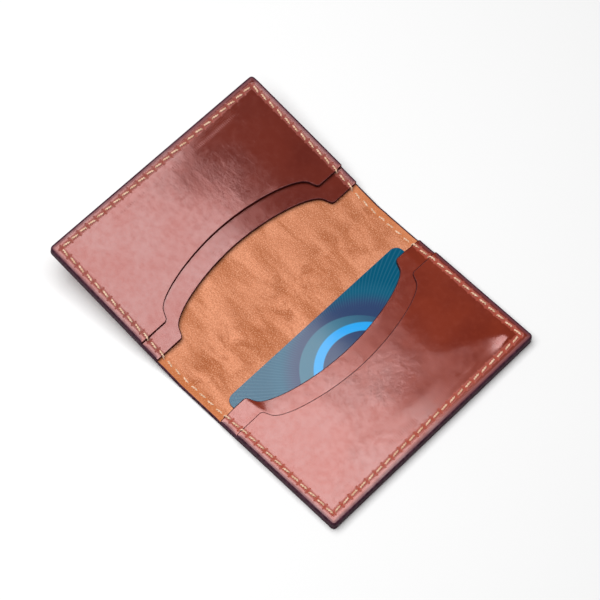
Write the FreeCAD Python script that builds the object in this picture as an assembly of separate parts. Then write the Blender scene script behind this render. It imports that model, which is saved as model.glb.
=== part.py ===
import FreeCAD, Part
import math
import os

# Bifold leather card holder lying open. Millimetres, +Z up.
# Origin: middle of the spine, on the flat face that rests on the table.
# The fold runs along Y. Leaf A is the empty half on the -X side and stands a little open of flat.
# Leaf B is the half on the +X side, lies flat and holds a card in its rear pocket.
# "reach" is the distance from the middle of the fold, measured along the flattened leather.

# Overall leather
WIDTH = 100.0             # along the fold
REACH = 71.0              # middle of the fold to the outer end of a leaf
LEATHER = 1.5             # thickness of every leather layer
CORNER_R = 1.5            # rounded outer corners
LEAF_A_LIFT_DEG = 11.2    # how far leaf A stands up from flat

# Fold: the leather bends round each side of a narrow spine
SPINE_FLAT = 4.2          # part of the spine that stays flat when closed
BEND_R = 3.0              # mid-thickness radius of each bend when closed
HINGE_GAP = 0.3           # half the cut between the spine and a leaf
HINGE_X = SPINE_FLAT / 2 + math.pi * BEND_R / 4
HINGE_Z = LEATHER / 2 + BEND_R * (1 - math.pi / 4)

# Pockets: mouths face the fold, each with a shallow thumb notch
REAR_REACH = 15.8         # straight part of the rear pocket's mouth
FRONT_REACH = 23.8        # straight part of the front pocket's mouth
NOTCH_DEPTH = 12.3
NOTCH_HALF = 38.8         # half the notch's length along the fold
# Bezier control points (depth, y) of half a notch: its shoulder, then its long curve to the middle
SHOULDER = ((0.0, NOTCH_HALF), (0.0, 37.0), (1.4, 37.1), (3.6, 35.9))
LONG_CURVE = ((3.6, 35.9), (7.6, 33.7), (NOTCH_DEPTH, 17.0), (NOTCH_DEPTH, 0.0))

# Card room: a formed field inside the stitched rim
FIELD_HALF = 43.3
FIELD_END = 65.4
WALL_RUN = 0.6            # how far the formed wall leans inwards
WALL_SKIN = 0.4           # how far the wall's outside stands beyond its inside
NEXT_WALL = 0.6           # each pocket above is formed this much wider
CARD_ROOM = 1.0           # height of the room that holds the card
EMPTY_ROOM = 0.4          # height of the room in an empty pocket

# Card, standard identity-card size
CARD_LONG = 85.6
CARD_SHORT = 53.98
CARD_THICK = 0.8
CARD_R = 3.18
CARD_REACH = 11.3         # the card's edge nearest the fold
CARD_FLOAT = 0.1          # clearance under the card

# Stitching along the rim
STITCH_INSET = 3.0
STITCH_LONG = 2.5
STITCH_WIDE = 0.7
STITCH_TALL = 0.35
STITCHES_PER_SIDE = 16    # along one side of one leaf, fold to corner
STITCHES_PER_END = 23
GROOVE_WIDE = 1.0
GROOVE_DEEP = 0.45        # the under stitches lie inside this groove

UP = FreeCAD.Vector(0, 0, 1)


def vec(x, y, z=0.0):
    return FreeCAD.Vector(x, y, z)


def slab(wire, low, high):
    """A closed outline at z = 0 made into a plate from low to high."""
    plate = Part.Face(wire).extrude(vec(0, 0, high - low))
    plate.translate(vec(0, 0, low))
    return plate


def box(x0, x1, y0, y1, z0, z1):
    return Part.makeBox(x1 - x0, y1 - y0, z1 - z0, vec(x0, y0, z0))


def bezier(poles):
    curve = Part.BezierCurve()
    curve.setPoles([vec(x, y) for x, y in poles])
    return curve.toShape()


def notched_edge(reach):
    """Pocket mouth from +Y to -Y: two straight ends joined by the thumb notch."""
    halves = [bezier([(reach + d, y) for d, y in poles]) for poles in (SHOULDER, LONG_CURVE)]
    halves += [bezier([(reach + d, -y) for d, y in reversed(poles)]) for poles in (LONG_CURVE, SHOULDER)]
    top = Part.makeLine(vec(reach, WIDTH / 2), vec(reach, NOTCH_HALF))
    bottom = Part.makeLine(vec(reach, -NOTCH_HALF), vec(reach, -WIDTH / 2))
    return [top] + halves + [bottom]


def straight_edge(reach):
    return [Part.makeLine(vec(reach, WIDTH / 2), vec(reach, -WIDTH / 2))]


def leaf_outline(inner_edge):
    """Inner edge given from +Y to -Y, then the other three sides with rounded outer corners."""
    start = inner_edge[0].Vertexes[0].Point.x
    half, flat_x, flat_y = WIDTH / 2, REACH - CORNER_R, WIDTH / 2 - CORNER_R
    bulge = CORNER_R * math.sqrt(0.5)
    low = Part.makeLine(vec(start, -half), vec(flat_x, -half))
    low_arc = Part.Arc(vec(flat_x, -half), vec(flat_x + bulge, -flat_y - bulge), vec(REACH, -flat_y))
    end = Part.makeLine(vec(REACH, -flat_y), vec(REACH, flat_y))
    top_arc = Part.Arc(vec(REACH, flat_y), vec(flat_x + bulge, flat_y + bulge), vec(flat_x, half))
    top = Part.makeLine(vec(flat_x, half), vec(start, half))
    return Part.Wire(inner_edge + [low, low_arc.toShape(), end, top_arc.toShape(), top])


def frustum(low, high, spread_low, spread_high):
    """Block with three leaning walls, open towards the fold; spread widens the card field."""
    wires = []
    for z, spread in ((low, spread_low), (high, spread_high)):
        y, x = FIELD_HALF + spread, FIELD_END + spread
        corners = [vec(0, -y, z), vec(x, -y, z), vec(x, y, z), vec(0, y, z), vec(0, -y, z)]
        wires.append(Part.makePolygon(corners))
    return Part.makeLoft(wires, True, True)


def pocket(reach, base, room, layer):
    """Leather panel whose rim lies at base and whose field is formed up by room."""
    outline = leaf_outline(notched_edge(reach))
    grow = NEXT_WALL * layer
    whole = slab(outline, base, base + LEATHER + room)
    rim = slab(outline, base, base + LEATHER)
    skin = grow + WALL_SKIN
    field = frustum(base, base + LEATHER, skin + WALL_RUN, skin + WALL_RUN)
    field = field.fuse(frustum(base + LEATHER, base + LEATHER + room, skin + WALL_RUN, skin))
    hollow = frustum(base, base + room, grow + WALL_RUN, grow)
    panel = rim.fuse(whole.common(field)).cut(hollow)
    return panel.removeSplitter().Solids[0]


def stitch(x, y, along_x, low):
    """One visible stitch: a flat bar of thread with round ends."""
    half, r = STITCH_LONG / 2 - STITCH_WIDE / 2, STITCH_WIDE / 2
    sides = [Part.makeLine(vec(-half, -r), vec(half, -r)), Part.makeLine(vec(half, r), vec(-half, r))]
    right = Part.Arc(vec(half, -r), vec(half + r, 0), vec(half, r)).toShape()
    left = Part.Arc(vec(-half, r), vec(-half - r, 0), vec(-half, -r)).toShape()
    bar = slab(Part.Wire([sides[0], right, sides[1], left]), 0, STITCH_TALL)
    if not along_x:
        bar.rotate(vec(0, 0), UP, 90)
    bar.translate(vec(x, y, low))
    return bar


def stitch_places():
    """(reach, y, along_x) of every stitch of one leaf from the fold round the outer end."""
    line_x, line_y = REACH - STITCH_INSET, WIDTH / 2 - STITCH_INSET
    side_pitch, end_pitch = line_x / STITCHES_PER_SIDE, 2 * line_y / STITCHES_PER_END
    places = []
    for i in range(STITCHES_PER_SIDE):
        for y in (-line_y, line_y):
            places.append(((i + 0.5) * side_pitch, y, True))
    for i in range(STITCHES_PER_END):
        places.append((line_x, -line_y + (i + 0.5) * end_pitch, False))
    return places


def top_height(reach):
    """Upper face of the stitched rim under a stitch at this reach."""
    outer = reach + STITCH_LONG / 2
    if outer > FRONT_REACH:
        return 3 * LEATHER
    if outer > REAR_REACH:
        return 2 * LEATHER
    return LEATHER


def on_spine(reach):
    return reach < HINGE_X


def leaf_stitches(top):
    bars = []
    for x, y, along_x in stitch_places():
        if not on_spine(x):
            low = top_height(x) if top else GROOVE_DEEP - STITCH_TALL
            bars.append(stitch(x, y, along_x, low))
    return Part.makeCompound(bars)


def spine_stitches(top):
    low = LEATHER if top else GROOVE_DEEP - STITCH_TALL
    bars = []
    for x, y, along_x in stitch_places():
        if on_spine(x):
            bars += [stitch(x, y, along_x, low), stitch(-x, y, along_x, low)]
    return Part.makeCompound(bars)


def groove(x0, x1, end_x=None):
    """Stitching groove on the outside of the shell: two side runs, and the end run if end_x is given."""
    line_y, half = WIDTH / 2 - STITCH_INSET, GROOVE_WIDE / 2
    runs = [box(x0, x1, s * line_y - half, s * line_y + half, -1, GROOVE_DEEP) for s in (-1, 1)]
    cut = runs[0].fuse(runs[1])
    if end_x is not None:
        cut = cut.fuse(box(end_x - half, end_x + half, -line_y - half, line_y + half, -1, GROOVE_DEEP))
    return cut


def shell_leaf():
    """Outer leather of one leaf, suede side up."""
    plate = slab(leaf_outline(straight_edge(HINGE_X + HINGE_GAP)), 0, LEATHER)
    end_x = REACH - STITCH_INSET
    return plate.cut(groove(0, end_x + GROOVE_WIDE / 2, end_x))


def shell_spine():
    half = HINGE_X - HINGE_GAP
    plate = box(-half, half, -WIDTH / 2, WIDTH / 2, 0, LEATHER)
    return plate.cut(groove(-2 * half, 2 * half))


def card():
    """Card with rounded corners, long side along the fold."""
    half, r = CARD_LONG / 2, CARD_R
    blank = box(CARD_REACH, CARD_REACH + CARD_SHORT, -half, half, 0, CARD_THICK)
    uprights = [e for e in blank.Edges if abs(e.Vertexes[0].Z - e.Vertexes[1].Z) > CARD_THICK / 2]
    body = blank.makeFillet(r, uprights)
    body.translate(vec(0, 0, LEATHER + CARD_FLOAT))
    return body


def as_leaf_a(shape):
    """Mirror a leaf to the -X side and lift it about its bend."""
    other = shape.mirror(vec(0, 0), vec(1, 0))
    other.rotate(vec(-HINGE_X, 0, HINGE_Z), vec(0, 1, 0), LEAF_A_LIFT_DEG)
    return other


def build():
    front_room_b = CARD_ROOM + EMPTY_ROOM
    front_room_a = 2 * EMPTY_ROOM
    return {
        "outer_shell_spine": shell_spine(),
        "outer_shell_leaf_a": as_leaf_a(shell_leaf()),
        "outer_shell_leaf_b": shell_leaf(),
        "pocket_rear_a": as_leaf_a(pocket(REAR_REACH, LEATHER, EMPTY_ROOM, 0)),
        "pocket_front_a": as_leaf_a(pocket(FRONT_REACH, 2 * LEATHER, front_room_a, 1)),
        "pocket_rear_b": pocket(REAR_REACH, LEATHER, CARD_ROOM, 0),
        "pocket_front_b": pocket(FRONT_REACH, 2 * LEATHER, front_room_b, 1),
        "card": card(),
        "thread_top_spine": spine_stitches(True),
        "thread_top_a": as_leaf_a(leaf_stitches(True)),
        "thread_top_b": leaf_stitches(True),
        "thread_under_spine": spine_stitches(False),
        "thread_under_a": as_leaf_a(leaf_stitches(False)),
        "thread_under_b": leaf_stitches(False),
    }


os.makedirs("parts", exist_ok=True)
for node, shape in build().items():
    shape.exportStep("parts/" + node + ".step")
    limits = shape.optimalBoundingBox(False)
    print(node, len(shape.Solids), "solids", round(shape.Volume, 2), "mm3", shape.isValid(),
          [round(v, 2) for v in (limits.XMin, limits.XMax, limits.YMin, limits.YMax, limits.ZMin, limits.ZMax)])
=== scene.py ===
import math

import bpy
import numpy as np
from mathutils import Matrix, Vector


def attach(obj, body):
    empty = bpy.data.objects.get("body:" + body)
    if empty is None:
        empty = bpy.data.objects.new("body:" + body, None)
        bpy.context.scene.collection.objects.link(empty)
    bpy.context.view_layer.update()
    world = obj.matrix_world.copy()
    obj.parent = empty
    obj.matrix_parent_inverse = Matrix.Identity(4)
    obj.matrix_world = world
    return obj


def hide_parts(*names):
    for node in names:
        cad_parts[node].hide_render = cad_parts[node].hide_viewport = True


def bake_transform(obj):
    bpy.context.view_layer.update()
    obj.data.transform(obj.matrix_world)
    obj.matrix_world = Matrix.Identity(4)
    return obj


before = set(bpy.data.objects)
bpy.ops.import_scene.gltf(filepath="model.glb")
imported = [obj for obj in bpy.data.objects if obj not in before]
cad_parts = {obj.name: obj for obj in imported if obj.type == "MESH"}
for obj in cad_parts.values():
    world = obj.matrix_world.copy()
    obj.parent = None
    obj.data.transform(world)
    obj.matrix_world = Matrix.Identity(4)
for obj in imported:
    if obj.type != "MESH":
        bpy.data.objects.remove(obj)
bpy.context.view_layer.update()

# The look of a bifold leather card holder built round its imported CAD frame.
# Lengths here are millimetres in the flattened holder; fold_points() folds them and turns them into metres.
# x runs across the fold (leaf A is -x, leaf B is +x), y along it, z up from the table.

# Leather, the same sizes as the CAD
HALF_WIDTH = 50.0
REACH = 71.0
LEATHER = 1.5
CORNER_R = 1.5
LIFT = math.radians(11.2)
SPINE_FLAT = 4.2
CLOSED_BEND_R = 3.0
HINGE_X = SPINE_FLAT / 2 + math.pi * CLOSED_BEND_R / 4
HINGE_Z = LEATHER / 2 + CLOSED_BEND_R * (1 - math.pi / 4)
BEND_START, BEND_END = 1.0, 7.6          # the leather curves between these distances from the fold

# Pockets
REAR_REACH = 15.8
FRONT_REACH = 23.8
NOTCH_DEPTH = 12.3
NOTCH_HALF = 38.8
SHOULDER = ((0.0, NOTCH_HALF), (0.0, 37.0), (1.4, 37.1), (3.6, 35.9))
LONG_CURVE = ((3.6, 35.9), (7.6, 33.7), (NOTCH_DEPTH, 17.0), (NOTCH_DEPTH, 0.0))

# Card
CARD_LONG, CARD_SHORT, CARD_THICK, CARD_R = 85.6, 53.98, 0.8, 3.18
CARD_REACH = 11.3
CARD_LOW = LEATHER + 0.1

# Edges and stitching
INSET = 1.0                              # where the flat grid of a panel hands over to its rounded edge
ROLL = 0.5                               # radius of an outer edge
COVERED_ROLL = 0.14                      # of an edge that lies against the next layer
MOUTH_ROLL, MOUTH_LOW_ROLL = 0.24, 0.35  # of a pocket's mouth, above and below
MOUTH_CORNER_R = 0.7
CORNER_CUT = 1 - math.sqrt(0.5)          # a quarter arc's middle, in radii along the straight side
LINE_Y = 47.0                            # side stitch lines
END_LINE = {-1: 68.0, 1: 67.4}           # outer-end stitch line of leaf A and leaf B
SIDE_STITCHES, END_STITCHES = 33, 23
SIDE_PITCH = 136.0 / SIDE_STITCHES
END_PITCH = 93.0 / END_STITCHES
THREAD_R = 0.21                          # one of the thread's two plies
UNDER_TROUGH = 0.45                      # groove that the lower stitches lie in

# How far the pockets of leaf A (-1) and leaf B (1) stand up over what they hold, and how much of that
# the front pocket loses in the middle and the rear pocket at its mouth
RISE = {-1: 0.3, 1: 0.95}
SAG = {-1: 0.1, 1: 0.35}
DROOP = {-1: 0.06, 1: 0.3}

# Camera in degrees, metres and millimetres of lens, and light
AZIMUTH, ELEVATION, ROLL_ANGLE = 44.63, 64.23, 0.21
EYE_DISTANCE = 0.8128
AIM = (0.00164, 0.00357, 0)
SENSOR, LENS = 36.0, 137.334
SOFTBOX_AT = (-0.15, -0.145, 0.9)
SOFTBOX_SIZE = (0.9, 0.905)
SOFTBOX_POWER = 12.3
FILL_STRENGTH = 0.06

MM = 0.001


# ---------------------------------------------------------------- small helpers

def smooth(t):
    t = np.clip(t, 0.0, 1.0)
    return t * t * (3 - 2 * t)


def graded(start, stop, fine_bands, fine, coarse):
    """Positions from start to stop, closer together inside the fine bands."""
    spots, direction = [start], 1.0 if stop > start else -1.0
    while True:
        here = spots[-1]
        step = fine if any(low <= here <= high for low, high in fine_bands) else coarse
        following = here + direction * step
        if direction * (stop - following) < 0.4 * step:
            break
        spots.append(following)
    return np.array(spots + [stop])


def bezier(poles, count=60):
    t = np.linspace(0, 1, count)[:, None]
    p = np.array(poles, float)
    return (1 - t) ** 3 * p[0] + 3 * t * (1 - t) ** 2 * p[1] + 3 * t * t * (1 - t) * p[2] + t ** 3 * p[3]


def mouth_depth(y):
    """How far a pocket's mouth is cut back at y by its thumb notch."""
    line = np.vstack([bezier(SHOULDER), bezier(LONG_CURVE)[1:]])
    order = np.argsort(line[:, 1])
    return np.interp(np.abs(y), line[order, 1], line[order, 0], right=0.0)


def fold_points(points):
    """Flat millimetres into the row frame in metres, with leaf A lifted about its bend."""
    p = np.array(points, float)
    weight = smooth((-p[:, 0] - BEND_START) / (BEND_END - BEND_START))
    angle = LIFT * weight
    x, z = p[:, 0] + HINGE_X, p[:, 2] - HINGE_Z
    out = p.copy()
    left = p[:, 0] < 0
    out[left, 0] = (x * np.cos(angle) + z * np.sin(angle) - HINGE_X)[left]
    out[left, 2] = (-x * np.sin(angle) + z * np.cos(angle) + HINGE_Z)[left]
    return out * MM


def make_mesh(name, flat, faces, attributes=(), smooth_shading=True):
    """A mesh from flat points; keeps where each point lies on the leather in the UV map "flat"."""
    mesh = bpy.data.meshes.new(name)
    mesh.from_pydata([tuple(v) for v in fold_points(flat)], [], faces)
    uv = mesh.uv_layers.new(name="flat")
    corner = np.zeros(len(mesh.loops), int)
    mesh.loops.foreach_get("vertex_index", corner)
    uv.data.foreach_set("uv", (flat[corner][:, :2] / 100).astype(np.float32).ravel())
    for key, values in attributes:
        mesh.attributes.new(key, "FLOAT", "POINT").data.foreach_set("value", values.astype(np.float32))
    mesh.polygons.foreach_set("use_smooth", [smooth_shading] * len(mesh.polygons))
    mesh.validate()
    mesh.update()
    made = bpy.data.objects.new(name, mesh)
    bpy.context.scene.collection.objects.link(made)
    return made


# ---------------------------------------------------------------- leather panels

def arc_drop(radius, into):
    """How far a rounded corner has pulled back, into millimetres past where its arc starts."""
    return radius - np.sqrt(radius ** 2 - np.clip(into, 0, radius) ** 2)


class Outline:
    """Points round a leaf-shaped panel at x >= 0: its mouth, lower side, outer end and upper side."""

    def __init__(self, reach, seam=False):
        self.reach, self.seam = reach, seam
        self.mouth_corner = 0.0 if seam else MOUTH_CORNER_R
        fine_y = ((42.5, 50), (33.5, 39.5), (-39.5, -33.5), (-50, -42.5))
        self.y = graded(HALF_WIDTH, -HALF_WIDTH, fine_y, 0.4, 1.0)
        self.x = graded(reach, REACH, ((reach, reach + 1.5), (63, REACH)), 0.4, 1.0)
        self.counts = (len(self.x), len(self.y))
        self.size = 2 * sum(self.counts) - 4
        self.loop = self.ring(np.zeros(self.size))
        self.on_mouth = np.arange(self.size) < len(self.y)

    def mouth(self, d):
        """Mouth points moved in by d, as the notch's offset curve."""
        if self.seam:
            return np.stack([0 * d, self.y * (HALF_WIDTH - d) / HALF_WIDTH], 1)
        corner = np.clip(self.mouth_corner - d, 0, None)
        top, straight = HALF_WIDTH - d, 39.5
        last = top - corner * CORNER_CUT
        size = np.abs(self.y)
        squeezed = straight + (size - straight) * (last - straight) / (HALF_WIDTH - straight)
        y = np.sign(self.y) * np.where(size <= straight, size, squeezed)
        slope = (mouth_depth(y + 0.05) - mouth_depth(y - 0.05)) / 0.1
        length = np.sqrt(1 + slope ** 2)
        x = self.reach + mouth_depth(y) + d / length + arc_drop(corner, np.abs(y) - (top - corner))
        return np.stack([x, y - d * slope / length], 1)

    def end(self, d):
        """Outer-end points moved in by d."""
        corner = np.clip(CORNER_R - d, 0, None)
        y = self.y / HALF_WIDTH * (HALF_WIDTH - d - corner * CORNER_CUT)
        return np.stack([REACH - d - arc_drop(corner, np.abs(y) - (HALF_WIDTH - d - corner)), y], 1)

    def side(self, d):
        """Points of the side at y > 0 moved in by d."""
        corner = np.clip(CORNER_R - d, 0, None)
        mouth_corner = np.clip(self.mouth_corner - d, 0, None)
        start = 0 * d if self.seam else self.reach + d
        first = start + mouth_corner * CORNER_CUT
        last = REACH - d - corner * CORNER_CUT
        x = first + (self.x - self.reach) / (REACH - self.reach) * (last - first)
        end_drop = arc_drop(corner, x - (REACH - d - corner))
        y = HALF_WIDTH - d - end_drop - arc_drop(mouth_corner, start + mouth_corner - x)
        return np.stack([x, y], 1)

    def ring(self, inset):
        """The loop moved in by inset, one number or one for each point."""
        nx, ny = self.counts
        d = np.zeros(self.size) + inset
        low, end, top = ny - 1, ny + nx - 2, 2 * ny + nx - 3
        upper = np.append(d[top:], d[0])[::-1]
        parts = [self.mouth(d[:ny])[:-1], self.side(d[low:low + nx])[:-1] * (1, -1),
                 self.end(d[end:end + ny][::-1])[::-1][:-1], self.side(upper)[::-1][:-1]]
        return np.vstack(parts)

    def index_of_ring(self):
        """Grid index (column along x, row along y) of each outline point, in order."""
        nx, ny = self.counts
        mouth = [(0, j) for j in range(ny - 1)]
        low = [(i, ny - 1) for i in range(nx - 1)]
        end = [(nx - 1, j) for j in range(ny - 1, 0, -1)]
        top = [(i, 0) for i in range(nx - 1, 0, -1)]
        return mouth + low + end + top

    def grid(self, inset):
        """Points inside the ring, blended between its four sides."""
        nx, ny = self.counts
        g = np.zeros((nx, ny, 2))
        for spot, (i, j) in zip(self.ring(inset), self.index_of_ring()):
            g[i, j] = spot
        s = ((self.x - self.x[0]) / (self.x[-1] - self.x[0]))[:, None, None]
        t = ((self.y[0] - self.y) / (self.y[0] - self.y[-1]))[None, :, None]
        top, low, mouth, end = g[:, :1], g[:, -1:], g[:1], g[-1:]
        corners = (1 - s) * ((1 - t) * g[0, 0] + t * g[0, -1]) + s * ((1 - t) * g[-1, 0] + t * g[-1, -1])
        return (1 - t) * top + t * low + (1 - s) * mouth + s * end - corners


def line_gap(x, y):
    """Distance from the line of stitches down both sides and across the outer end."""
    end = np.where(x < 0, END_LINE[-1], END_LINE[1])
    beyond_end = np.clip(np.abs(x) - end, 0, None)
    beyond_side = np.clip(np.abs(y) - LINE_Y, 0, None)
    return np.minimum(np.hypot(np.abs(y) - LINE_Y, beyond_end), np.hypot(np.abs(x) - end, beyond_side))


def hole_gap(x, y):
    """Distance from the nearest stitch hole."""
    end = np.where(x < 0, END_LINE[-1], END_LINE[1])
    beside = np.abs(np.mod(x / SIDE_PITCH, 1.0) - 0.5) * SIDE_PITCH
    along_end = np.abs(np.mod(y / END_PITCH, 1.0) - 0.5) * END_PITCH
    side_hole = np.hypot(np.abs(y) - LINE_Y, np.where(np.abs(x) < 69, beside, 9.0))
    end_hole = np.hypot(np.abs(x) - end, np.where(np.abs(y) < 48, along_end, 9.0))
    return np.minimum(side_hole, end_hole)


def rim_shape(x, y, pull=0.06, pit=0.1, fall=0.2):
    """Leather pulled down along the stitches, pitted at each hole and falling away at the rim.
    Leaf A's upper rim curls up a little instead."""
    edge = np.minimum(HALF_WIDTH - np.abs(y), REACH - np.abs(x))
    curl = np.where((x < 0) & (y > 40), smooth((REACH - 1.5 - np.abs(x)) / 2.0), 0.0)
    pulled = pull * np.exp(-(line_gap(x, y) / 1.0) ** 2) + pit * np.exp(-(hole_gap(x, y) / 0.6) ** 2)
    return -pulled - (fall - (fall + 0.07) * curl) * smooth((2.4 - edge) / 2.4)


def plateau(x, y, side_run, end_run):
    """1 over the middle of a pocket, easing to 0 at its stitched rim."""
    return smooth((46.6 - np.abs(y)) / side_run) * smooth((67.2 - np.abs(x)) / end_run)


def waviness(x, y):
    """Slow unevenness of real leather."""
    return 0.014 * np.sin(x / 4.3 + 1.3) * np.cos(y / 5.4 + 0.7) + 0.014 * np.sin(x / 9.1 - y / 7.7)


def mouth_gap(x, y, reach):
    """Rough distance in from a pocket's mouth."""
    return 0.85 * (np.abs(x) - reach - mouth_depth(y))


def corner_push(x, y):
    """The card's corner showing through the leather near the outer end."""
    return 0.62 * np.exp(-((x - 66.0) / 4.5) ** 2 - ((y - 45.5) / 7.5) ** 2)


# ---------------------------------------------------------------- surfaces of each layer

def shell_low(x, y):
    return UNDER_TROUGH * np.exp(-(line_gap(x, y) / 0.75) ** 2)


def shell_high(x, y):
    exposed = smooth((REAR_REACH + 1.5 - np.abs(x)) / 1.5)
    return LEATHER + exposed * rim_shape(x, y, 0.08, 0.1, 0.1)


def rear_lift(x, y, side):
    near_mouth = 1 - np.clip(mouth_gap(x, y, REAR_REACH) / 7.0, 0, 1)
    droop = DROOP[side] * np.clip(0.45 - 0.012 * y, 0, 1) * near_mouth ** 2
    lean = -0.005 * y if side < 0 else 0.0
    return (RISE[side] - droop + lean) * plateau(x, y, 4.5, 3.5)


def rear_low(x, y, side):
    return LEATHER + 0.01 + rear_lift(x, y, side)


def rear_high(x, y, side):
    exposed = smooth((FRONT_REACH + 1.5 - np.abs(x)) / 1.5)
    return 2 * LEATHER + rear_lift(x, y, side) + exposed * rim_shape(x, y)


def front_low(x, y, side):
    return 2 * LEATHER + 0.01 + rear_lift(x, y, side)


def front_high(x, y, side):
    sag = SAG[side] * (1 - (y / 43.0) ** 2) * smooth((66.0 - np.abs(x)) / 12.0)
    side_run = 4.0 + 24.0 * smooth((64.0 - x) / 14.0) if side > 0 else 20.0
    twist = -0.009 * y * smooth((np.abs(x) - 40.0) / 22.0) if side < 0 else 0.0
    end_run = 9.0 if side > 0 else 6.0
    lift = (RISE[side] - sag + twist + waviness(x, y)) * plateau(x, y, side_run, end_run)
    droop = 0.04 * (1 - np.clip(mouth_gap(x, y, FRONT_REACH) / 4.0, 0, 1)) ** 2
    push = corner_push(x, y) * plateau(x, y, 2.5, 2.5) if side > 0 else 0.0
    return 3 * LEATHER + lift - droop + push + rim_shape(x, y)


def top_surface(x, y):
    """Height of the uppermost leather over the flat holder, along the stitched rim."""
    side = 1 if x > 0 else -1
    if abs(x) > FRONT_REACH:
        return float(front_high(x, y, side))
    if abs(x) > REAR_REACH:
        return float(rear_high(x, y, side))
    return float(shell_high(x, y))


# ---------------------------------------------------------------- panel meshes

def nearest_outline(points, outline):
    """Distance to the nearest outline point, and which one it is."""
    gap, which = np.zeros(len(points)), np.zeros(len(points), int)
    for first in range(0, len(points), 4000):
        part = slice(first, first + 4000)
        across = points[part, None, 0] - outline[None, :, 0]
        along = points[part, None, 1] - outline[None, :, 1]
        away = np.hypot(across, along)
        gap[part], which[part] = away.min(1), away.argmin(1)
    return gap, which


def edge_radii(shape, covered_from, low_roll):
    """Radius of the rounded edge at each outline point, above and below."""
    open_roll = np.where(shape.loop[:, 0] > covered_from, COVERED_ROLL, ROLL)
    top_r = np.where(shape.on_mouth, MOUTH_ROLL, open_roll)
    low_r = np.where(shape.on_mouth, MOUTH_LOW_ROLL, low_roll)
    if shape.seam:
        top_r[shape.on_mouth], low_r[shape.on_mouth] = ROLL, ROLL
    soften = np.hanning(9) / np.hanning(9).sum()
    return [np.convolve(np.concatenate([r[-4:], r, r[:4]]), soften, "valid") for r in (top_r, low_r)]


def edge_rings(shape, top_r, low_r):
    """(inset, drop, belongs to the upper face) of each ring of points, from the top round to the bottom."""
    turns = np.radians([0, 18, 36, 54, 72, 90])
    rings = [(top_r + np.where(shape.on_mouth, 0.05, 0.15), 0.0 * top_r, True)]
    rings += [(top_r * (1 - math.sin(t)), top_r * (1 - math.cos(t)), True) for t in turns]
    rings += [(low_r * (1 - math.sin(t)), low_r * (1 - math.cos(t)), False) for t in turns[::-1]]
    return rings


def panel_faces(shape, ring_count):
    """Faces of a panel, and for each the material: 0 upper, 1 edge, 2 under, 3 mouth's edge."""
    nx, ny = shape.counts
    start, around = nx * ny, len(shape.loop)
    bottom = start + around * ring_count
    faces, kinds = [], []
    for i in range(nx - 1):
        for j in range(ny - 1):
            a, b, c, d = i * ny + j, (i + 1) * ny + j, (i + 1) * ny + j + 1, i * ny + j + 1
            faces += [(a, d, c, b), (bottom + a, bottom + b, bottom + c, bottom + d)]
            kinds += [0, 2]
    border = [i * ny + j for i, j in shape.index_of_ring()]
    levels = [border]
    levels += [list(range(start + k * around, start + (k + 1) * around)) for k in range(ring_count)]
    levels.append([bottom + v for v in border])
    for level, (upper, lower) in enumerate(zip(levels, levels[1:])):
        kind = 0 if level == 0 else 2 if level == len(levels) - 2 else 1
        for k in range(around):
            if shape.seam and k < ny - 1:
                continue
            m = (k + 1) % around
            faces.append((upper[k], lower[k], lower[m], upper[m]))
            kinds.append(3 if kind == 1 and k < ny - 1 else kind)
    return faces, kinds


def panel(name, shape, side, low, high, covered_from, low_roll, materials):
    """Leather panel with rounded, painted edges.
    low and high give its under and upper surface at (x, y). Beyond covered_from its edge lies under the
    next layer and is only eased. materials are for the upper face, the painted edge, the under face and
    the mouth's edge."""
    top_r, low_r = edge_radii(shape, covered_from, low_roll)
    rings = edge_rings(shape, top_r, low_r)
    inner = shape.grid(INSET).reshape(-1, 2)
    points = [np.column_stack([inner, high(side * inner[:, 0], inner[:, 1])])]
    for inset, drop, upper in rings:
        spot = shape.ring(inset)
        sx, sy = side * spot[:, 0], spot[:, 1]
        points.append(np.column_stack([spot, high(sx, sy) - drop if upper else low(sx, sy) + drop]))
    points.append(np.column_stack([inner, low(side * inner[:, 0], inner[:, 1])]))
    flat = np.vstack(points)

    faces, kinds = panel_faces(shape, len(rings))
    skip = len(shape.y) - 1 if shape.seam else 0
    edge, which = nearest_outline(flat[:, :2], shape.loop[skip:])
    paint = top_r[which + skip]
    if side < 0:
        flat[:, 0] *= -1
        faces = [f[::-1] for f in faces]
    made = make_mesh(name, flat, faces, [("edge", edge), ("paint", paint)])
    for material in materials:
        made.data.materials.append(material)
    made.data.polygons.foreach_set("material_index", kinds)
    return made


# ---------------------------------------------------------------- node building

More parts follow.
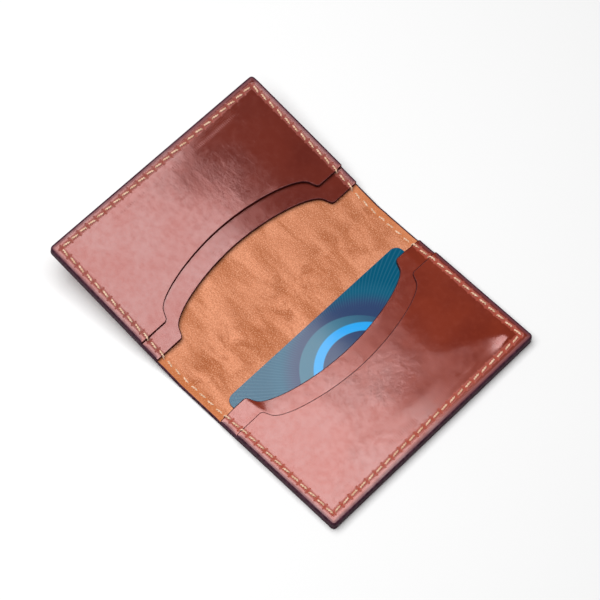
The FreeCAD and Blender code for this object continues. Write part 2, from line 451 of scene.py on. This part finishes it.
class Nodes:
    """A material's node tree with short ways to add and join nodes."""

    def __init__(self, name):
        self.material = bpy.data.materials.new(name)
        self.material.use_nodes = True
        self.tree = self.material.node_tree
        self.tree.nodes.clear()

    def add(self, kind, settings=None, **inputs):
        node = self.tree.nodes.new(kind)
        for key, value in (settings or {}).items():
            setattr(node, key, value)
        for key, value in inputs.items():
            self.put(node, key.replace("_", " "), value)
        return node

    def put(self, node, key, value):
        socket = node.inputs[key]
        if isinstance(value, bpy.types.NodeSocket):
            self.tree.links.new(value, socket)
        else:
            socket.default_value = value

    def math(self, operation, a, b=0.0):
        node = self.add("ShaderNodeMath", {"operation": operation})
        self.put(node, 0, a)
        self.put(node, 1, b)
        return node.outputs[0]

    def times(self, a, b):
        return self.math("MULTIPLY", a, b)

    def plus(self, a, b):
        return self.math("ADD", a, b)

    def span(self, value, low, high, out_low=0.0, out_high=1.0):
        """value from low..high to out_low..out_high, smooth at both ends."""
        node = self.add("ShaderNodeMapRange", {"interpolation_type": "SMOOTHSTEP"})
        for key, number in (("Value", value), ("From Min", low), ("From Max", high),
                            ("To Min", out_low), ("To Max", out_high)):
            self.put(node, key, number)
        return node.outputs["Result"]

    def mix(self, factor, a, b, blend="MIX"):
        """Colour a where factor is 0 and b where it is 1."""
        node = self.add("ShaderNodeMix", {"data_type": "RGBA", "blend_type": blend})
        for index, value in ((0, factor), (6, a), (7, b)):
            self.put(node, index, value)
        return node.outputs[2]

    def noise(self, vector, scale, detail=3.0, roughness=0.5, distortion=0.0):
        node = self.add("ShaderNodeTexNoise", None, Vector=vector, Scale=scale, Detail=detail,
                        Roughness=roughness, Distortion=distortion)
        return node.outputs["Fac"]

    def stretched(self, vector, scale, turn=0.0):
        node = self.add("ShaderNodeMapping")
        self.put(node, "Vector", vector)
        node.inputs["Scale"].default_value = scale
        node.inputs["Rotation"].default_value = (0, 0, turn)
        return node.outputs[0]

    def flat(self):
        """(vector, x, y) on the flattened leather; x and y in millimetres."""
        vector = self.add("ShaderNodeUVMap", {"uv_map": "flat"}).outputs[0]
        parts = self.add("ShaderNodeSeparateXYZ", None, Vector=vector)
        return vector, self.times(parts.outputs[0], 100.0), self.times(parts.outputs[1], 100.0)

    def attribute(self, name):
        return self.add("ShaderNodeAttribute", {"attribute_name": name}).outputs["Fac"]

    def finish(self, height=None, **inputs):
        shader = self.add("ShaderNodeBsdfPrincipled", None, **inputs)
        if height is not None:
            bump = self.add("ShaderNodeBump", None, Height=height, Strength=1.0, Distance=MM)
            self.tree.links.new(bump.outputs[0], shader.inputs["Normal"])
        out = self.add("ShaderNodeOutputMaterial")
        self.tree.links.new(shader.outputs[0], out.inputs[0])
        return self.material


def stitch_marks(n, x, y):
    """Shader distances in millimetres: from the nearest hole, from the pulled spots beside it and
    from the stitch line."""
    reach, across = n.math("ABSOLUTE", x), n.math("ABSOLUTE", y)
    end = n.plus(n.times(n.math("GREATER_THAN", x, 0.0), END_LINE[1] - END_LINE[-1]), END_LINE[-1])
    past_end = n.math("MAXIMUM", n.math("SUBTRACT", reach, end), 0.0)
    past_side = n.math("MAXIMUM", n.math("SUBTRACT", across, LINE_Y), 0.0)

    def hypot(a, b):
        return n.math("SQRT", n.plus(n.times(a, a), n.times(b, b)))

    side_line = hypot(n.math("SUBTRACT", across, LINE_Y), n.times(past_end, 2.0))
    end_line = hypot(n.math("SUBTRACT", reach, end), n.times(past_side, 2.0))
    side_along = n.math("PINGPONG", n.plus(x, SIDE_PITCH * 30.5), SIDE_PITCH / 2)
    end_along = n.math("PINGPONG", n.plus(y, END_PITCH * 30.5), END_PITCH / 2)
    hole = n.math("MINIMUM", hypot(side_line, side_along), hypot(end_line, end_along))
    spot = n.math("MINIMUM", hypot(n.math("SUBTRACT", side_line, 0.95), side_along),
                  hypot(n.math("SUBTRACT", end_line, 0.95), end_along))
    return hole, spot, n.math("MINIMUM", side_line, end_line)


def wrinkled(n, vector, x, y, cloud):
    """Where the leather is wrinkled: scattered patches, and one large one on each leaf."""
    patch = n.span(n.noise(vector, 4.2, 2.0, 0.5), 0.5, 0.64, 0.0, 0.6)

    def squared(value, middle, half):
        off = n.math("DIVIDE", n.math("SUBTRACT", value, middle), half)
        return n.math("POWER", n.math("ABSOLUTE", off), 2.0)

    for middle_x, middle_y, half_x, half_y in ((46.0, 3.0, 12.0, 13.0), (-50.0, 13.0, 15.0, 9.0)):
        out = n.plus(squared(x, middle_x, half_x), squared(y, middle_y, half_y))
        patch = n.math("MAXIMUM", patch, n.span(n.plus(out, n.times(cloud, 2.0)), 2.6, 0.9))
    return patch


def leather_height(n, vector, x, y, spot, line, cloud, mottle, fine):
    """Bump of the leather in millimetres: wrinkles, grain, swelling, pulled threads and the ridge that
    runs beside the outer end."""
    patch = wrinkled(n, vector, x, y, cloud)
    wrinkle = n.noise(n.stretched(vector, (60.0, 24.0, 1.0), 0.9), 1.0, 3.0, 0.55, 0.8)
    crease = n.noise(n.stretched(vector, (14.0, 60.0, 1.0), -0.5), 1.0, 3.0, 0.6, 0.8)
    pores = n.add("ShaderNodeTexVoronoi", {"feature": "DISTANCE_TO_EDGE"}, Vector=vector, Scale=170.0)
    pebble = n.times(n.noise(vector, 75.0, 3.0, 0.6), patch)
    swell = n.noise(vector, 6.5, 2.0, 0.5)
    tuft = n.times(n.noise(vector, 95.0, 2.0, 0.7), n.span(line, 2.0, 0.6))
    tick = n.math("SINE", n.plus(n.times(y, 2 * math.pi / 0.8), n.times(mottle, 6.0)))
    ridge = n.span(n.math("ABSOLUTE", n.math("SUBTRACT", n.math("ABSOLUTE", x), 63.6)), 1.4, 0.1)
    ridge = n.times(n.times(ridge, n.span(n.math("ABSOLUTE", y), 45.0, 38.0)), n.span(cloud, 0.4, 0.6))

    height = n.times(n.times(wrinkle, patch), n.span(x, -12.0, 12.0, 0.018, 0.055))
    for part, tall in ((crease, 0.006), (pebble, 0.009), (swell, 0.05),
                       (n.math("MINIMUM", pores.outputs["Distance"], 0.25), 0.007), (fine, 0.0007),
                       (tuft, 0.035), (n.span(spot, 0.6, 0.0), -0.04), (n.times(ridge, tick), 0.004)):
        height = n.plus(height, n.times(part, tall))
    return height


def leather_material():
    """Glossy chestnut leather: fine grain, creases, marks pulled by the stitches, edges stained dark, and
    leaf A painted darker as shade.
    """
    deep, warm, bright = (0.18, 0.021, 0.009, 1), (0.22, 0.029, 0.012, 1), (0.25, 0.038, 0.016, 1)
    # The second colour here is painted shade: it multiplies leaf A darker and a little bluer for the light
    # its lifted leaf gets.
    pulled_tan, leaf_a_painted_shade = (0.36, 0.05, 0.018, 1), (0.7, 0.78, 1.1, 1)
    plum_stain, plum_paint = (0.075, 0.01, 0.022, 1), (0.045, 0.008, 0.012, 1)
    n = Nodes("card_holder_leather")
    vector, x, y = n.flat()
    edge, paint = n.attribute("edge"), n.attribute("paint")
    hole, spot, line = stitch_marks(n, x, y)
    cloud = n.noise(vector, 5.0, 3.0, 0.55)
    mottle = n.noise(vector, 42.0, 4.0, 0.6)
    fine = n.noise(vector, 260.0, 3.0, 0.6)

    marked = n.math("MAXIMUM", n.span(hole, 0.9, 0.3), n.span(n.plus(spot, n.times(mottle, 0.5)), 0.85, 0.45))
    seam = n.span(n.plus(line, n.times(mottle, 1.2)), 1.9, 1.25)
    seam = n.times(seam, n.span(mottle, 0.3, 0.7, 0.7, 1.0))
    marked = n.math("MAXIMUM", marked, n.times(seam, 0.85))
    radii_in = n.math("DIVIDE", n.plus(edge, n.times(fine, 0.2)), paint)
    outer = n.span(paint, 0.3, 0.45)
    painted = n.span(n.plus(n.math("SUBTRACT", edge, paint), n.times(mottle, 0.25)), 0.3, 0.17)

    color = n.mix(n.span(cloud, 0.35, 0.65), deep, warm)
    color = n.mix(n.times(n.span(mottle, 0.45, 0.75), 0.3), color, bright)
    color = n.mix(n.times(marked, 0.75), color, pulled_tan)
    # Painted shade: leaf A (x < 0) is multiplied darker and bluer, standing in for the lighting of its lifted
    # leaf and its greyer sheen.
    color = n.mix(n.span(x, 12.0, -12.0), color, leaf_a_painted_shade, "MULTIPLY")
    color = n.mix(n.times(n.times(n.span(radii_in, 4.6, 1.8), outer), 0.9), color, plum_stain)
    color = n.mix(painted, color, plum_paint)

    roughness = n.plus(n.span(mottle, 0.3, 0.8, 0.085, 0.135), n.times(marked, 0.62))
    roughness = n.plus(n.times(painted, 0.4), roughness)
    roughness = n.plus(roughness, n.span(x, -12.0, 12.0, -0.008, 0.03))
    roughness = n.plus(roughness, n.times(n.times(n.span(radii_in, 4.4, 1.4), outer), 0.5))

    gloss = n.plus(n.span(x, -12.0, 12.0, 0.18, 0.42), n.span(mottle, 0.35, 0.7, 0.16, -0.16))
    gloss = n.plus(gloss, n.span(cloud, 0.35, 0.65, 0.14, -0.14))
    coat = n.times(gloss, n.span(n.math("MAXIMUM", marked, painted), 0.0, 1.0, 1.0, 0.1))
    height = leather_height(n, vector, x, y, spot, line, cloud, mottle, fine)
    return n.finish(height, Base_Color=color, Roughness=roughness, IOR=1.58, Specular_IOR_Level=0.9,
                    Specular_Tint=(1.0, 0.53, 0.51, 1), Coat_Weight=coat, Coat_Roughness=0.08, Coat_IOR=1.5)


def edge_material(name, dark, light):
    """Burnished paint over the cut edge of the layers."""
    n = Nodes(name)
    place = n.add("ShaderNodeTexCoord").outputs["Object"]
    tone = n.noise(place, 900.0, 3.0, 0.6)
    layer = n.noise(n.stretched(place, (150.0, 150.0, 2600.0)), 1.0, 2.0, 0.6)
    color = n.mix(n.span(tone, 0.35, 0.7), dark, light)
    return n.finish(n.plus(n.times(tone, 0.02), n.times(layer, 0.05)), Base_Color=color, Roughness=0.55,
                    Specular_IOR_Level=0.05)


def suede_material():
    """Flesh side of the shell: orange-tan nap, softly banded, with darker rubs along the fold."""
    n = Nodes("card_holder_suede")
    vector, x, y = n.flat()
    edge, paint = n.attribute("edge"), n.attribute("paint")
    band = n.noise(n.stretched(vector, (3.5, 12.0, 1.0), -0.28), 1.0, 3.0, 0.55, 0.5)
    rub = n.noise(n.stretched(vector, (9.0, 15.0, 1.0)), 1.0, 4.0, 0.65, 0.8)
    speck = n.noise(vector, 230.0, 2.0, 0.8)
    grit = n.noise(vector, 110.0, 3.0, 0.7)
    fibre = n.noise(n.stretched(vector, (420.0, 160.0, 1.0), 0.5), 1.0, 3.0, 0.7, 1.5)
    color = n.mix(n.span(band, 0.32, 0.62), (0.46, 0.14, 0.053, 1), (0.77, 0.305, 0.165, 1))
    color = n.mix(n.times(n.span(y, -15.0, 45.0), 0.3), color, (0.42, 0.14, 0.06, 1))
    folded = n.span(n.math("ABSOLUTE", x), 13.0, 4.0, 0.2, 1.0)
    color = n.mix(n.times(n.times(n.span(rub, 0.46, 0.64), folded), 0.8), color, (0.38, 0.1, 0.03, 1))
    color = n.mix(n.times(n.span(speck, 0.5, 0.68), 0.65), color, (1.0, 0.53, 0.34, 1))
    color = n.mix(n.times(n.span(speck, 0.48, 0.3), 0.65), color, (0.33, 0.1, 0.035, 1))
    color = n.mix(n.times(n.span(grit, 0.55, 0.38), 0.3), color, (0.4, 0.125, 0.05, 1))
    outer = n.span(n.math("ABSOLUTE", y), 45.4, 47.6)
    color = n.mix(n.times(outer, 0.45), color, (0.6, 0.185, 0.055, 1))
    painted = n.span(n.plus(n.math("SUBTRACT", edge, paint), n.times(grit, 0.3)), 0.3, 0.14)
    color = n.mix(painted, color, (0.05, 0.018, 0.02, 1))
    height = n.plus(n.times(speck, 0.06), n.times(fibre, 0.06))
    height = n.plus(n.plus(height, n.times(grit, 0.08)), n.times(band, 0.25))
    return n.finish(height, Base_Color=color, Roughness=0.95, Sheen_Weight=0.15, Sheen_Roughness=0.5,
                    Specular_IOR_Level=0.15)


def thread_material():
    """Waxed two-ply thread, pale gold."""
    n = Nodes("card_holder_thread")
    vector = n.flat()[0]
    tone = n.noise(vector, 60.0, 2.0, 0.5)
    hair = n.noise(vector, 900.0, 2.0, 0.5)
    color = n.mix(n.span(tone, 0.35, 0.65), (0.74, 0.45, 0.28, 1), (0.9, 0.64, 0.46, 1))
    return n.finish(n.times(hair, 0.05), Base_Color=color, Roughness=0.45, Sheen_Weight=0.2)


def card_material():
    """Generic printed card: teal and slate rings, fine rays and one bright blue ring, with painted sheen
    lightening its low-y side.
    """
    n = Nodes("card_holder_card")
    vector, x, y = n.flat()
    px = n.math("SUBTRACT", x, CARD_REACH + CARD_SHORT / 2)
    radius = n.math("SQRT", n.plus(n.math("POWER", px, 2.0), n.math("POWER", y, 2.0)))
    offset = n.math("SUBTRACT", px, -2.0)
    lobe = n.math("SQRT", n.plus(n.math("POWER", offset, 2.0), n.math("POWER", n.plus(y, 1.8), 2.0)))
    turn = n.math("ARCTAN2", y, px)
    swirl = n.plus(n.times(turn, 190.0), n.times(radius, 0.9))
    rays = n.math("SINE", swirl)
    teal, slate = (0.001, 0.085, 0.16, 1), (0.028, 0.055, 0.14, 1)
    # The light teal is partly the print's crescent and partly painted sheen; towards +y it turns to slate as
    # painted shade where no sheen falls.
    light = (0.045, 0.165, 0.25, 1)
    slate_print_and_painted_shade = n.math("MAXIMUM", n.span(lobe, 20.8, 21.3), n.span(y, 2.0, 24.0, 0.0, 0.85))
    color = n.mix(slate_print_and_painted_shade, light, slate)
    color = n.mix(n.span(radius, 25.5, 31.0), color, (0.006, 0.1, 0.18, 1))
    color = n.mix(n.span(radius, 31.0, 36.0), color, teal)
    outside = n.span(radius, 24.0, 27.0)
    color = n.mix(n.times(n.times(n.span(rays, 0.2, 0.9), outside), 0.2), color, (0.06, 0.22, 0.32, 1))
    ring = n.times(n.span(radius, 15.2, 15.7), n.span(radius, 19.0, 18.4))
    color = n.mix(n.span(radius, 15.7, 15.2), color, slate)
    color = n.mix(ring, color, (0.025, 0.36, 0.82, 1))
    dust = n.noise(vector, 300.0, 2.0, 0.6)
    color = n.mix(n.times(n.span(dust, 0.55, 0.75), 0.05), color, (0.2, 0.3, 0.36, 1))
    return n.finish(n.times(dust, 0.002), Base_Color=color, Roughness=0.07, Specular_IOR_Level=0.36)


def floor_material():
    n = Nodes("studio_floor")
    place = n.add("ShaderNodeTexCoord").outputs["Object"]
    tone = n.noise(place, 3.0, 2.0, 0.5)
    color = n.mix(tone, (0.88, 0.88, 0.88, 1), (0.885, 0.885, 0.885, 1))
    return n.finish(None, Base_Color=color, Roughness=0.8, Specular_IOR_Level=0.1)


# ---------------------------------------------------------------- pieces

def bend_with(piece):
    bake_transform(piece)


def shell_half(leaf, side, leather, paint, suede):
    """Half of the outer shell, suede above and grain below; leaf A's half is folded up at its side of the
    spine.
    """
    half = panel(f"shell_{leaf}", Outline(0.0, seam=True), side, shell_low, shell_high, REAR_REACH,
                 ROLL, (suede, paint, leather))
    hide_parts(f"outer_shell_{leaf}", "outer_shell_spine")
    bend_with(half)


def pockets(leaf, side, leather, paint, mouth_paint):
    """The two pocket panels of one leaf."""
    tag = leaf[-1]
    layers = (("rear", REAR_REACH, rear_low, rear_high, FRONT_REACH),
              ("front", FRONT_REACH, front_low, front_high, REACH))
    for layer, reach, low, high, covered_from in layers:
        made = panel(f"pocket_{layer}_{tag}_leather", Outline(reach), side,
                     lambda x, y: low(x, y, side), lambda x, y: high(x, y, side),
                     covered_from, COVERED_ROLL, (leather, paint, leather, mouth_paint))
        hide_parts(f"pocket_{layer}_{tag}")
        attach(made, leaf)


def taut(heights):
    """The line of a thread pulled tight over these heights."""
    out = heights.copy()
    for i in range(len(heights)):
        for j in range(i + 1, len(heights)):
            out[i:j + 1] = np.maximum(out[i:j + 1], np.linspace(heights[i], heights[j], j - i + 1))
    return out


def stitch_path(centre, direction, pitch, top):
    """Centre line of one stitch from hole to hole, dipping into the leather at both."""
    t = np.linspace(-0.5, 0.5, 23)
    slant = 0.14 if centre[0] >= 0 else -0.14
    across = np.array([-direction[1], direction[0]])
    line = centre + np.outer(t * pitch, direction) + np.outer(t * pitch * slant, across)
    rise = 0.17 if abs(centre[0]) > REAR_REACH else 0.02
    arch = np.clip(rise - 0.17 * (t / 0.27) ** 6, -0.7, None)
    if not top:
        return np.column_stack([line, 0.46 - 0.06 * (1 - (t / 0.2) ** 2).clip(-8, None)])
    heights = np.array([top_surface(px, py) for px, py in line])
    return np.column_stack([line, taut(heights) + arch])


def ply_tube(path, phase):
    """One ply: a thin tube wound round the stitch's centre line."""
    sides, points, faces = 7, [], []
    along = np.gradient(path, axis=0)
    along /= np.linalg.norm(along, axis=1)[:, None]
    up = np.array([0.0, 0.0, 1.0])
    for k, (spot, tangent) in enumerate(zip(path, along)):
        across = np.cross(tangent, up)
        across /= np.linalg.norm(across)
        lift = np.cross(across, tangent)
        wind = phase + k * 0.6
        middle = spot + 0.9 * THREAD_R * (math.cos(wind) * across + math.sin(wind) * lift)
        for step in range(sides):
            a = 2 * math.pi * step / sides
            points.append(middle + THREAD_R * (math.cos(a) * across + math.sin(a) * lift))
    rows = len(path)
    for k in range(rows - 1):
        for step in range(sides):
            a, b = k * sides + step, k * sides + (step + 1) % sides
            faces.append((a, b, b + sides, a + sides))
    faces.append(tuple(range(sides))[::-1])
    faces.append(tuple((rows - 1) * sides + step for step in range(sides)))
    return np.array(points), faces


def stitch_centres():
    """(centre, direction, pitch) of every stitch round the whole holder."""
    along_x, along_y = np.array([1.0, 0.0]), np.array([0.0, 1.0])
    found = []
    for y in (-LINE_Y, LINE_Y):
        for k in range(-(SIDE_STITCHES // 2), SIDE_STITCHES // 2 + 1):
            found.append((np.array([k * SIDE_PITCH, y]), along_x, SIDE_PITCH))
    for side in (-1, 1):
        for k in range(-(END_STITCHES // 2), END_STITCHES // 2 + 1):
            found.append((np.array([side * END_LINE[side], k * END_PITCH]), along_y, END_PITCH))
    return found


def stitches(name, keep, top):
    """One mesh of the stitches whose centre x passes keep."""
    points, faces, count = [], [], 0
    for centre, direction, pitch in stitch_centres():
        if not keep(centre[0]):
            continue
        path = stitch_path(centre, direction, pitch, top)
        for phase in (0.0, math.pi):
            p, f = ply_tube(path, phase + centre[0] + centre[1])
            points.append(p)
            faces += [tuple(v + count for v in face) for face in f]
            count += len(p)
    return make_mesh(name, np.vstack(points), faces)


def all_stitches(thread):
    """Stitches above and below, split where the leather bends."""
    for layer, top in (("top", True), ("under", False)):
        for leaf, side in (("leaf_a", -1), ("leaf_b", 1)):
            tag = leaf[-1]
            near = BEND_END + 1.2
            first = -0.01 if side > 0 else 0.01
            rim = stitches(f"stitches_{layer}_{tag}", lambda x: side * x > near, top)
            fold = stitches(f"stitches_{layer}_fold_{tag}", lambda x: first < side * x <= near, top)
            for piece, node in ((rim, f"thread_{layer}_{tag}"), (fold, f"thread_{layer}_spine")):
                piece.data.materials.append(thread)
                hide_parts(node)
            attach(rim, leaf)
            bend_with(fold)


def card_piece(material):
    """Card with rounded corners and slightly eased edges."""
    half_x, half_y = CARD_SHORT / 2, CARD_LONG / 2
    outline = []
    for cx, cy, first in ((1, 1, 0), (-1, 1, 90), (-1, -1, 180), (1, -1, 270)):
        for step in range(13):
            a = math.radians(first + step * 7.5)
            outline.append((cx * (half_x - CARD_R) + CARD_R * math.cos(a),
                            cy * (half_y - CARD_R) + CARD_R * math.sin(a)))
    outline = np.array(outline)
    centre = np.array([CARD_REACH + half_x, 0.0])
    eased, ease_height = 1 - 0.0016, 0.07
    levels = [(0.985, CARD_THICK), (eased, CARD_THICK), (1.0, CARD_THICK - ease_height),
              (1.0, ease_height), (eased, 0.0)]
    points, n = [], len(outline)
    for scale, height in levels:
        points.append(np.column_stack([outline * scale + centre, np.full(n, CARD_LOW + height)]))
    faces = [tuple(range(n)), tuple(4 * n + k for k in range(n))[::-1]]
    for level in range(4):
        for k in range(n):
            m = (k + 1) % n
            faces.append((level * n + k, (level + 1) * n + k, (level + 1) * n + m, level * n + m))
    piece = make_mesh("card_printed", np.vstack(points), faces, smooth_shading=False)
    piece.data.materials.append(material)
    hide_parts("card")
    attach(piece, "card")


def studio():
    """Pale floor, one large soft light above and behind, and gentle fill."""
    mesh = bpy.data.meshes.new("studio_floor")
    mesh.from_pydata([(-3, -3, 0), (3, -3, 0), (3, 3, 0), (-3, 3, 0)], [], [(0, 1, 2, 3)])
    floor = bpy.data.objects.new("studio_floor", mesh)
    floor.location.z = -0.0001
    bpy.context.scene.collection.objects.link(floor)
    mesh.materials.append(floor_material())

    data = bpy.data.lights.new("key_softbox", "AREA")
    data.shape, data.energy = "RECTANGLE", SOFTBOX_POWER
    data.size, data.size_y = SOFTBOX_SIZE
    lamp = bpy.data.objects.new("key_softbox", data)
    lamp.location = SOFTBOX_AT
    lamp.rotation_mode = "QUATERNION"
    lamp.rotation_quaternion = Vector((0, 0, -SOFTBOX_AT[2])).to_track_quat("-Z", "Y")
    bpy.context.scene.collection.objects.link(lamp)

    world = bpy.data.worlds.new("studio_world")
    world.use_nodes = True
    world.node_tree.nodes["Background"].inputs[0].default_value = (1, 1, 1, 1)
    world.node_tree.nodes["Background"].inputs[1].default_value = FILL_STRENGTH
    bpy.context.scene.world = world
    bpy.context.scene.view_settings.view_transform = "Standard"


def camera():
    """Camera placed to match the photograph."""
    azimuth, elevation, roll = math.radians(AZIMUTH), math.radians(ELEVATION), math.radians(ROLL_ANGLE)
    back = Vector((math.sin(azimuth) * math.cos(elevation), -math.cos(azimuth) * math.cos(elevation),
                   math.sin(elevation)))
    right = Vector((math.cos(azimuth), math.sin(azimuth), 0))
    up = back.cross(right)
    turned = right * math.cos(roll) + up * math.sin(roll)
    upward = -right * math.sin(roll) + up * math.cos(roll)
    data = bpy.data.cameras.new("camera")
    data.sensor_width = SENSOR
    data.lens = LENS
    data.clip_start, data.clip_end = 0.05, 20
    eye = bpy.data.objects.new("camera", data)
    place = Matrix((turned, upward, back)).transposed().to_4x4()
    place.translation = Vector(AIM) + back * EYE_DISTANCE
    eye.matrix_world = place
    bpy.context.scene.collection.objects.link(eye)
    bpy.context.scene.camera = eye


def build():
    plum_dark, plum_light = (0.034, 0.01, 0.019, 1), (0.08, 0.027, 0.044, 1)
    red_dark, red_light = (0.035, 0.005, 0.006, 1), (0.085, 0.012, 0.012, 1)
    camera()
    studio()
    leather, suede = leather_material(), suede_material()
    paint = edge_material("card_holder_edge_paint", plum_dark, plum_light)
    mouth_paint = edge_material("card_holder_mouth_edge", red_dark, red_light)
    for leaf, side in (("leaf_a", -1), ("leaf_b", 1)):
        shell_half(leaf, side, leather, paint, suede)
        pockets(leaf, side, leather, paint, mouth_paint)
    all_stitches(thread_material())
    card_piece(card_material())


build()
